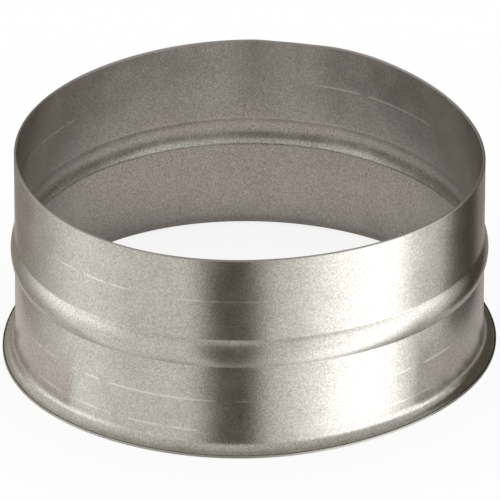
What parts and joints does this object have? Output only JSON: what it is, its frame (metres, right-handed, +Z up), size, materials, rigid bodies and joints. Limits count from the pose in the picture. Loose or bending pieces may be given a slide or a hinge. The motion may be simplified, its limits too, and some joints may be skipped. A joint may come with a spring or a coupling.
{
  "type": "duct connector sleeve",
  "caption": "Short round sheet-steel duct sleeve, open at both ends, with a stop bead rolled round its wall and a narrow flange turned out at its base.",
  "frame": {"origin": "centre of the underside of the flange, on the bore's axis", "axes": "+Z up the bore, from the flange to the cut rim; the sleeve is the same all round, so X and Y are free"},
  "size_m": [0.1582, 0.1582, 0.0674],
  "materials": {
    "zinc_sheet": "satin galvanised sheet"
  },
  "bodies": {
    "root": {"sleeve": "zinc_sheet"}
  },
  "joints": []
}
